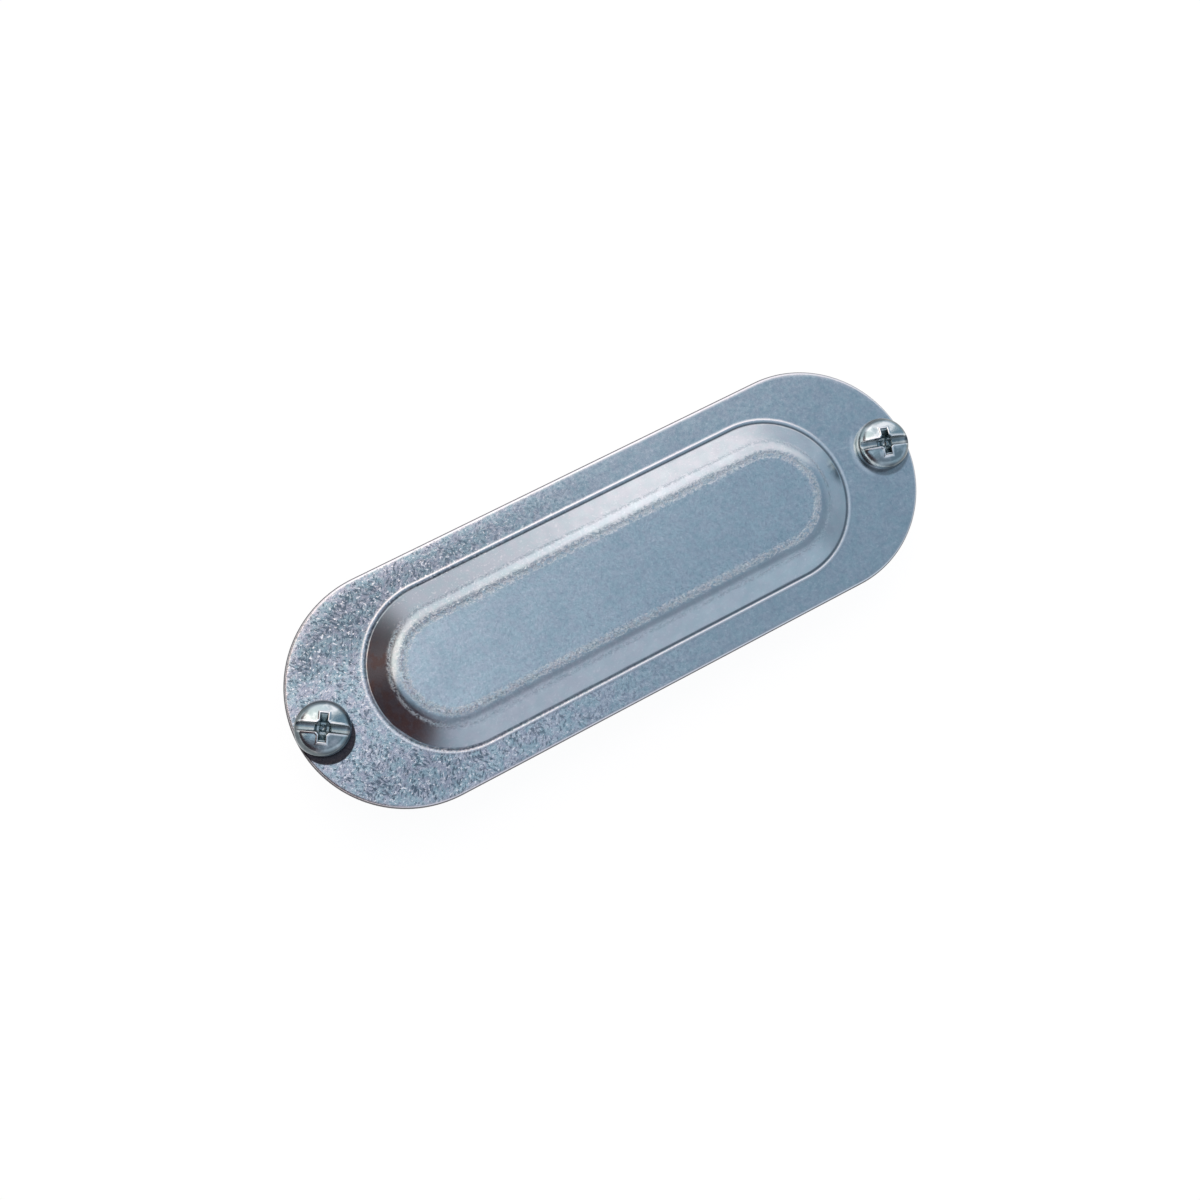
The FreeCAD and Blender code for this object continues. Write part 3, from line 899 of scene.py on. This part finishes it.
@dataclass(frozen=True)
class GalvanisedSheet:
    """Hot-dip zinc on steel: bright bluish metal with a fine bloom, ironed where it was drawn.

    Each scale is a pattern's features per metre, and the relief's depth is in metres.
    """

    pale: Color = (0.64, 0.72, 0.75)
    deep: Color = (0.34, 0.425, 0.475)
    white: Color = (0.93, 0.93, 0.95)
    lilac: Color = (0.58, 0.53, 0.64)
    teal: Color = (0.38, 0.56, 0.62)
    fleck: Color = (0.08, 0.12, 0.16)
    brown: Color = (0.50, 0.36, 0.30)
    dark: Color = (0.03, 0.025, 0.03)
    roughness: float = 0.19
    ironed: float = 0.17
    torn: float = 0.6
    grain_scale: float = 1500.0
    fine_scale: float = 3300.0
    cloud_scale: float = 420.0
    hue_scale: float = 600.0
    patch_scale: float = 260.0
    stroke_scale: float = 3300.0
    stroke_stretch: float = 2.1
    stroke_turns: tuple[float, float] = (1.0, 2.3)
    glint_scale: float = 2500.0
    craze_scale: float = 1900.0
    blotch_scale: float = 700.0
    relief_depth: float = 0.0001

    def head_shadow(self, shader: Shader, screw_x: float) -> Socket:
        """Painted shadows of the screws' heads: a dark disc behind each, mostly towards -Y.

        Args:
            shader: the material's nodes.
            screw_x: distance from the middle to each screw's axis, in millimetres.

        Returns:
            The share of painted shadow.
        """
        # painted shadows: a strong one behind the -X screw, half as strong behind the +X screw
        left = shader.ramp(shader.from_axis(0.05 - screw_x, -1.25), 4.10, 3.90)
        right = shader.ramp(shader.from_axis(screw_x, -0.70), 4.30, 3.90)
        discs = shader.math("MAXIMUM", left, shader.product(right, 0.5))
        height = shader.add("SeparateXYZ", "Z", Vector=shader.place)
        return shader.product(discs, shader.math("GREATER_THAN", height, 0.8 * MM))

    def head_reflection(self, shader: Shader, screw_x: float) -> Socket:
        """A painted reflection of the +X screw's head: a pale ring on its side towards the dome.

        Args:
            shader: the material's nodes.
            screw_x: distance from the middle to the screw's axis, in millimetres.

        Returns:
            The share of painted reflection.
        """
        apart = shader.from_axis(screw_x, 0.0)
        across = shader.add("SeparateXYZ", "X", Vector=shader.place)
        inward = shader.ramp(across, (screw_x - 2.6) * MM, (screw_x - 4.2) * MM)
        return shader.product(shader.ramp(apart, 4.15, 4.45), shader.ramp(apart, 5.3, 4.7), inward)

    def skin(self, shader: Shader, zone: dict[str, Socket], contrast: Socket, grain: Socket,
             cloud: Socket) -> Socket:
        """The bloom's colour: grain and clouds from deep to pale, with a faint change of hue.

        Args:
            shader: the material's nodes.
            zone: the zones stored in the mesh.
            contrast: how strong the bloom is.
            grain: the middle pattern.
            cloud: the large pattern.

        Returns:
            The colour.
        """
        mottle = shader.swing(grain, 7.0, 0.0)
        mottle = shader.swing(shader.noise(self.fine_scale, 3.0, 0.7), 4.0, mottle)
        mottle = shader.swing(cloud, 1.4, mottle)
        share = shader.swing(cloud, 0.5, shader.math("MULTIPLY_ADD", mottle, contrast, 0.5))
        share = shader.math("MULTIPLY_ADD", zone["pressed"], 0.16, share)
        share = shader.math("MULTIPLY_ADD", zone["coarse"], -0.65, share)
        color = shader.blend(shader.ramp(share, -0.1, 1.1), self.deep, self.pale)
        hue = shader.ramp(shader.noise(self.hue_scale, 4.0, 0.65), 0.40, 0.60)
        tinge = shader.math("MULTIPLY_ADD", contrast, 0.35, 0.14)
        return shader.blend(tinge, color, shader.blend(hue, self.lilac, self.teal))

    def flecks(self, shader: Shader, zone: dict[str, Socket], contrast: Socket,
               cloud: Socket) -> Socket:
        """The bloom's dark strokes, which run one way or the other by patches.

        Args:
            shader: the material's nodes.
            zone: the zones stored in the mesh.
            contrast: how strong the bloom is.
            cloud: the large pattern.

        Returns:
            The share of dark.
        """
        patch = shader.ramp(shader.noise(self.patch_scale, 3.0), 0.46, 0.54)
        ways = (shader.strokes(self.stroke_scale, turn, self.stroke_stretch)
                for turn in self.stroke_turns)
        flecks = shader.swing(cloud, 0.3, shader.between(patch, *ways))
        flecks = shader.math("MULTIPLY_ADD", zone["coarse"], 0.04, flecks)
        return shader.product(shader.ramp(flecks, 0.50, 0.64), contrast, 0.85)

    def material(self, screw_x: float) -> bpy.types.Material:
        """Build the finish.

        The bloom's contrast grows towards the -X end and fades where the metal was ironed,
        rolled or pressed. The marks are laid over it one after another: real ones, and painted
        shade, highlights, reflections and head shadows.

        Args:
            screw_x: distance from the middle to each screw's axis, in millimetres.

        Returns:
            The material.
        """
        shader = Shader("galvanised_sheet")
        zone = {name: shader.attribute(name) for name in (
            "drawn", "bent", "rolled", "pressed", "crease_shade", "bead_highlight", "end_reflection", "left", "coarse",
            "edge_highlight", "sheared_and_shaded",
        )}
        calm = shader.product(shader.math("MAXIMUM", zone["rolled"], zone["pressed"]), 0.88)
        calm = shader.math("MAXIMUM", zone["drawn"], calm)
        contrast = shader.math("MULTIPLY_ADD", zone["left"], 0.88, 0.12)
        contrast = shader.product(contrast, shader.math("SUBTRACT", 1.0, calm))
        contrast = shader.math("MAXIMUM", contrast, shader.product(zone["pressed"], 0.17))
        grain = shader.noise(self.grain_scale, 4.0, 0.65)
        cloud = shader.noise(self.cloud_scale, 3.0)
        glints = shader.ramp(shader.noise(self.glint_scale, 2.0, 0.6, 0.4), 0.58, 0.68)
        craze = shader.ramp(shader.noise(self.craze_scale, 4.0, 0.75), 0.44, 0.60)
        craze = shader.product(craze, zone["bent"])
        blotch = shader.ramp(shader.noise(self.blotch_scale, 4.0, 0.6), 0.45, 0.62)
        blotch = shader.math("MULTIPLY_ADD", blotch, 0.5, 0.2)
        # painted highlights along the upper edge and on the bead
        bright = shader.math("MAXIMUM", zone["edge_highlight"], zone["bead_highlight"])
        color = self.skin(shader, zone, contrast, grain, cloud)
        for share, tint in (
            (self.flecks(shader, zone, contrast, cloud), self.fleck),
            (shader.product(zone["coarse"], 0.30), self.fleck),
            (shader.product(glints, shader.math("MULTIPLY_ADD", contrast, 0.8, 0.12)), self.white),
            (shader.product(craze, 0.18), self.fleck),
            # painted reflection: brown blotches where the wall faces the -X end
            (shader.product(blotch, zone["end_reflection"]), self.brown),
            # painted shade in the crease at the foot
            (shader.product(zone["crease_shade"], 0.75), self.dark),
            # painted highlights along the edge and the bead, in white
            (shader.product(bright, 0.9), self.white),
            # painted shade on the cut edge
            (shader.product(zone["sheared_and_shaded"], 0.85), self.dark),
            # painted reflection of the +X screw's head
            (shader.product(self.head_reflection(shader, screw_x), 0.6), self.white),
            # painted shadows of the screws' heads
            (shader.product(self.head_shadow(shader, screw_x), 0.97), self.dark),
        ):
            color = shader.blend(share, color, tint)
        rough = shader.math("MULTIPLY_ADD", grain, 0.16, self.roughness - 0.08)
        rough = shader.math("MULTIPLY_ADD", zone["left"], 0.06, rough)
        rough = shader.between(calm, rough, self.ironed)
        rough = shader.math("MAXIMUM", rough, shader.product(zone["sheared_and_shaded"], self.torn))
        relief = shader.product(grain, shader.product(contrast, 0.5))
        relief = shader.math("MULTIPLY_ADD", craze, -0.48, relief)
        return shader.metal(color, rough, relief, self.relief_depth, 1.0)


@dataclass(frozen=True)
class ZincPlatedScrew:
    """Bright clear zinc plate with a faint blue cast, with painted shade down in the recess,
    on the head's side and on the recess's walls, and a painted highlight on the lip.

    Each scale is a pattern's features per metre, and the relief's depth is in metres.
    """

    face: Color = (0.62, 0.72, 0.75)
    shade: Color = (0.32, 0.42, 0.45)
    # recess, edge and black are painted shade; bright is a painted highlight
    recess: Color = (0.16, 0.21, 0.23)
    edge: Color = (0.08, 0.095, 0.105)
    bright: Color = (0.93, 0.96, 0.97)
    black: Color = (0.015, 0.03, 0.035)
    roughness: float = 0.11
    cloud_scale: float = 500.0
    grain_scale: float = 4200.0
    relief_depth: float = 0.00004

    def material(self) -> bpy.types.Material:
        """Build the finish.

        Returns:
            The material.
        """
        shader = Shader("zinc_plated_screw")
        names = ("sunk", "thread", "skirt", "lip", "wall")
        sunk, thread, skirt, lip, wall = (shader.attribute(name) for name in names)
        cloud = shader.noise(self.cloud_scale, 4.0)
        grain = shader.noise(self.grain_scale, 4.0, 0.6)
        color = shader.blend(shader.ramp(cloud, 0.40, 0.60), self.shade, self.face)
        for zone, share, tint in (
            # painted shade down in the recess
            (sunk, 0.55, self.recess),
            # painted shade on the head's side
            (skirt, 0.85, self.edge),
            # painted highlight on the lip round the recess
            (lip, 0.85, self.bright),
            # painted shade on the recess's walls
            (wall, 0.85, self.black),
        ):
            color = shader.blend(shader.product(zone, share), color, tint)
        rough = shader.math("MULTIPLY_ADD", grain, 0.14, self.roughness - 0.05)
        rough = shader.math("MULTIPLY_ADD", thread, 0.08, rough)
        rough = shader.math("MULTIPLY_ADD", sunk, 0.06, rough)
        relief = shader.math("MULTIPLY_ADD", grain, 0.5, cloud)
        return shader.metal(color, rough, relief, self.relief_depth, 0.6)


def seen_directly(tree: bpy.types.NodeTree) -> Socket:
    """1 for rays from the camera and from shiny or clear surfaces, and 0 for all others.

    Args:
        tree: the nodes to add to.

    Returns:
        The share's socket.
    """
    path = tree.nodes.new("ShaderNodeLightPath").outputs
    seen = path["Is Camera Ray"]
    for name in ("Is Glossy Ray", "Is Transmission Ray"):
        either = tree.nodes.new("ShaderNodeMath")
        either.operation = "MAXIMUM"
        tree.links.new(seen, either.inputs[0])
        tree.links.new(path[name], either.inputs[1])
        seen = either.outputs[0]
    return seen


def dress(piece: bpy.types.Object, material: bpy.types.Material) -> None:
    """Give a piece one material."""
    piece.data.materials.clear()
    piece.data.materials.append(material)


# ---------------------------------------------------------------- the studio


@dataclass
class Studio:
    """Pale floor, light tent, soft lamp and camera, with lengths in millimetres."""

    floor_z: float
    seat_top: float
    tent_radius: float = 1200.0
    tent_foot: float = math.radians(-3.0)
    tent_rows: int = 48
    tent_columns: int = 96
    overhead: Color = (0.32, 0.44, 0.555)
    bright_end: Color = (0.56, 0.52, 0.53)
    soft_near: Color = (1.64, 1.42, 1.30)
    soft_far: Color = (1.27, 1.15, 1.17)
    soft_low: Color = (1.54, 1.36, 1.35)
    dim_side: Color = (0.32, 0.38, 0.46)
    low_side: Color = (0.61, 0.70, 0.80)
    dark_end: Color = (0.075, 0.055, 0.065)
    dusk: Color = (0.10, 0.075, 0.07)
    low_glow: Color = (1.0, 1.0, 1.0)
    warm_side: Color = (1.16, 1.02, 1.0)
    floor_half: float = 1300.0
    floor_tint: Color = (0.14, 0.14, 0.14)
    floor_glow: float = 0.92
    lamp_place: tuple[float, float, float] = (30.0, 370.0, 460.0)
    lamp_size: tuple[float, float] = (360.0, 300.0)
    lamp_watts: float = 0.12
    fill: float = 0.6
    view_angles: tuple[float, float, float] = (-75.9, 76.7, 48.5)
    view_steps: tuple[float, float, float] = (-2.09, -2.81, 242.0)
    lens: float = 49.13
    sensor: float = 36.0
    nearest: float = 10.0

    def radiance(self, away: np.ndarray) -> np.ndarray:
        """Colour of the tent's cloth in each direction from the object.

        Overhead it is blue-grey with a pale band that falls off exponentially to both ends. On
        the +Y side it is soft white, warmer towards -X and fainter at the +X end. The -Y side
        is dim, then paler lower down, and warm towards -X. The -X end is dark with a glow below,
        and a dark nook lies above it, a little to the -Y side. The shares are ramps and bell
        curves of the direction's parts.

        Args:
            away: rows of unit vectors.

        Returns:
            Rows of red, green and blue.
        """
        x, y, z = away.T[:, :, None]
        fall = np.maximum(x, 0.0) / 0.16 + np.maximum(-0.10 - x, 0.0) / 0.20
        color = np.array(self.overhead) + np.array(self.bright_end) * np.exp(-fall)
        level = np.hypot(x, y)
        facing = -x / np.maximum(level, 0.01)
        wide, narrow = smooth_step(-0.05, 0.60, facing), smooth_step(0.30, 0.88, facing)
        towards = np.where(y > 0.0, wide, narrow)
        beyond = level - 0.13 * smooth_step(-0.05, 0.25, y)
        to_dark = smooth_step(0.42, 0.60, beyond) * towards * smooth_step(0.26, 0.44, z)
        shade = np.array(self.dark_end) + np.array(self.dusk) * smooth_step(0.10, 0.45, y)
        nook = 0.75 * bell(x, -0.37, 0.13) * bell(y, -0.18, 0.10)
        soft_tint = mixed(smooth_step(0.35, -0.05, x), self.soft_far, self.soft_near)
        soft_tint = mixed(smooth_step(0.60, 0.85, y), soft_tint, self.soft_low)
        soft = smooth_step(0.165, 0.23, y + 0.1 * np.maximum(-x, 0.0))
        soft = soft * (0.35 + 0.65 * smooth_step(0.22, 0.50, z))
        soft = soft * (1.0 - 0.5 * smooth_step(0.62, 0.95, x))
        for share, tint in (
            (smooth_step(0.16, -0.35, y), self.dim_side),
            (smooth_step(0.70, 0.95, x) * 0.5, self.low_side),
            (smooth_step(-0.45, -0.72, y), self.low_side),
            (soft, soft_tint),
            (towards * smooth_step(0.44, 0.26, z), self.low_glow),
            (nook, self.dark_end),
            (to_dark, shade),
        ):
            color = mixed(share, color, tint)
        warm = smooth_step(0.42, 0.12, x) * smooth_step(-0.10, -0.40, y)
        return color * (1.0 + warm * (np.array(self.warm_side) - 1.0))

    def tent(self) -> bpy.types.Object:
        """A dome of cloth that glows with its own colour in each direction.

        The dome's points are a sphere's by azimuth and elevation.

        Returns:
            The tent, which the camera doesn't see.
        """
        turn = np.linspace(0.0, math.tau, self.tent_columns, endpoint=False)[None, :]
        rise = np.linspace(self.tent_foot, math.pi / 2, self.tent_rows)[:, None]
        away = turned(np.cos(rise), np.sin(rise), turn).reshape(-1, 3)
        colors = np.column_stack([self.radiance(away), np.ones(len(away))])
        faces = grid_faces(self.tent_rows, self.tent_columns)[:, ::-1]
        tent = add_mesh("tent", away * self.tent_radius, faces)
        layer = tent.data.attributes.new("glow", "FLOAT_COLOR", "POINT")
        layer.data.foreach_set("color", colors.astype(np.float32).ravel())
        tent.data.shade_smooth()
        tent.visible_camera = False
        shader = Shader("tent")
        glow = shader.add("Attribute", "Color", attribute_name="glow")
        light = shader.add("Emission", 0, Color=glow, Strength=1.0)
        shader.connect(shader.tree.nodes["Material Output"].inputs["Surface"], light)
        shader.material.cycles.emission_sampling = "NONE"
        dress(tent, shader.material)
        return tent

    def floor(self) -> bpy.types.Object:
        """A plain pale floor that the camera and the metal see as white, with its shadow.

        Returns:
            The floor.
        """
        corners = np.array([[-1.0, -1.0], [1.0, -1.0], [1.0, 1.0], [-1.0, 1.0]]) * self.floor_half
        points = np.column_stack([corners, np.full(len(corners), self.floor_z)])
        floor = add_mesh("floor", points, np.array([[0, 1, 2, 3]]))
        shader = Shader("floor")
        seen = seen_directly(shader.tree)
        for name, value in (
            ("Base Color", (*self.floor_tint, 1.0)),
            ("Roughness", 0.9),
            ("Specular IOR Level", 0.0),
            ("Emission Color", (1.0, 1.0, 1.0, 1.0)),
            ("Emission Strength", shader.product(seen, self.floor_glow)),
        ):
            shader.connect(shader.surface.inputs[name], value)
        dress(floor, shader.material)
        return floor

    def lamp(self) -> None:
        """One large soft lamp, high on the +Y side."""
        light = bpy.data.lights.new("softbox", "AREA")
        light.shape = "RECTANGLE"
        light.size, light.size_y = (side * MM for side in self.lamp_size)
        light.energy = self.lamp_watts
        lamp = bpy.data.objects.new("softbox", light)
        lamp.location = Vector(self.lamp_place) * MM
        lamp.rotation_euler = (-lamp.location).to_track_quat("-Z", "Y").to_euler()
        bpy.context.scene.collection.objects.link(lamp)

    def world(self) -> None:
        """A white backdrop for the camera and the metal, and a plain fill for everything else."""
        world = bpy.data.worlds.new("backdrop")
        bpy.context.scene.world = world
        world.use_nodes = True
        nodes, links = world.node_tree.nodes, world.node_tree.links
        strength = nodes.new("ShaderNodeMapRange")
        links.new(seen_directly(world.node_tree), strength.inputs["Value"])
        strength.inputs["To Min"].default_value = self.fill
        nodes["Background"].inputs["Color"].default_value = (1.0, 1.0, 1.0, 1.0)
        links.new(strength.outputs["Result"], nodes["Background"].inputs["Strength"])

    def camera(self) -> None:
        """The camera: nearly above the cover, leaning to its -X end and turned about its view.

        Its axes come from an azimuth, an elevation and a roll in degrees; its place is a distance
        along the view from the middle of the flange, with a small step to the side and up.
        """
        azimuth, elevation, roll = (math.radians(angle) for angle in self.view_angles)
        level = Vector((math.cos(azimuth), math.sin(azimuth), 0.0))
        back = Vector((
            math.sin(azimuth) * math.cos(elevation),
            -math.cos(azimuth) * math.cos(elevation),
            math.sin(elevation),
        ))
        upward = back.cross(level)
        right = math.cos(roll) * level + math.sin(roll) * upward
        upward = math.cos(roll) * upward - math.sin(roll) * level
        aside, above, apart = self.view_steps
        place = (aside * right + above * upward + apart * back) * MM
        data = bpy.data.cameras.new("camera")
        data.sensor_width = self.sensor
        data.lens = self.lens
        data.clip_start = self.nearest * MM
        camera = bpy.data.objects.new("camera", data)
        turn = Matrix((right, upward, back)).transposed().to_4x4()
        flange = Vector((0.0, 0.0, self.seat_top * MM))
        camera.matrix_world = Matrix.Translation(place + flange) @ turn
        bpy.context.scene.collection.objects.link(camera)
        bpy.context.scene.camera = camera

    def build(self) -> None:
        """Put up the studio round the finished pieces."""
        for stand in (self.tent(), self.floor()):
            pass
        self.lamp()
        self.world()
        self.camera()
        bpy.context.scene.view_settings.view_transform = "Standard"


# ---------------------------------------------------------------- the object


def millimetres(node: str) -> tuple[np.ndarray, np.ndarray]:
    """Lowest and highest corner of a CAD node, in millimetres."""
    low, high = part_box(node)
    return np.array(low) / MM, np.array(high) / MM


def make_screw(side: Side, turn: float, seat: float, shade_gap: float) -> CaptiveScrew:
    """A screw that fills the box of its CAD node.

    Args:
        side: which end of the cover holds it.
        turn: direction of its slot from +X, in degrees.
        seat: height of the face under its head.
        shade_gap: share of the painted shade on its head's side that is left off towards -X.

    Returns:
        The screw, not yet built.
    """
    low, high = millimetres(side.value)
    middle = (low[0] + high[0]) / 2
    radius = (high[0] - low[0]) / 2
    return CaptiveScrew(side, middle, radius, seat, high[2], low[2], math.radians(turn), shade_gap=shade_gap)


def main() -> None:
    """Build the pieces and the studio."""
    logging.basicConfig(level=logging.INFO)
    low, high = millimetres("cover")
    sheet = DrawnSheet(length=high[0] - low[0], width=high[1] - low[1], panel_top=high[2])
    screws = [
        make_screw(Side.LEFT, -33.0, sheet.thickness, 0.0),
        make_screw(Side.RIGHT, -17.0, sheet.thickness, 0.9),
    ]
    screw_x = screws[1].axis_x
    dress(sheet.build(screw_x), GalvanisedSheet().material(screw_x))
    plate = ZincPlatedScrew().material()
    for screw in screws:
        dress(screw.build(), plate)
    Studio(floor_z=screws[0].tip, seat_top=sheet.thickness).build()


if __name__ == "__main__":
    main()
